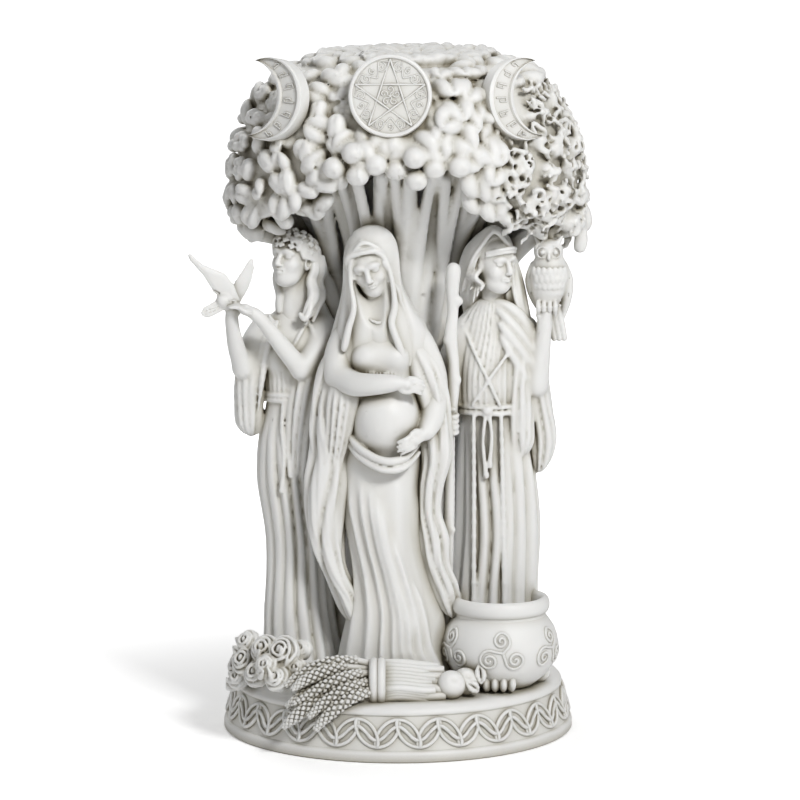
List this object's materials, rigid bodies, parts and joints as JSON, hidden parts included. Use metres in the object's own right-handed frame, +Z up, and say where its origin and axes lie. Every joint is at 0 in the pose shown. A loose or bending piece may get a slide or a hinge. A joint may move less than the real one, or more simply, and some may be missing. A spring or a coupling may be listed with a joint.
{
  "type": "goddess statue",
  "caption": "Cast resin statuette of three robed goddesses before a spreading tree with moon signs, on a round knotwork plinth with a small open cauldron.",
  "frame": {"origin": "centre of the plinth's flat underside", "axes": "+Z up along the tree, -Y towards the viewer whom the middle figure faces, +X to the viewer's right, where the cauldron stands"},
  "size_m": [0.1578, 0.135, 0.2643],
  "materials": {
    "marble_resin": "satin white bonded marble, warmer in the deep folds"
  },
  "bodies": {
    "root": {"statue": "marble_resin", "cauldron": "marble_resin"}
  },
  "joints": []
}
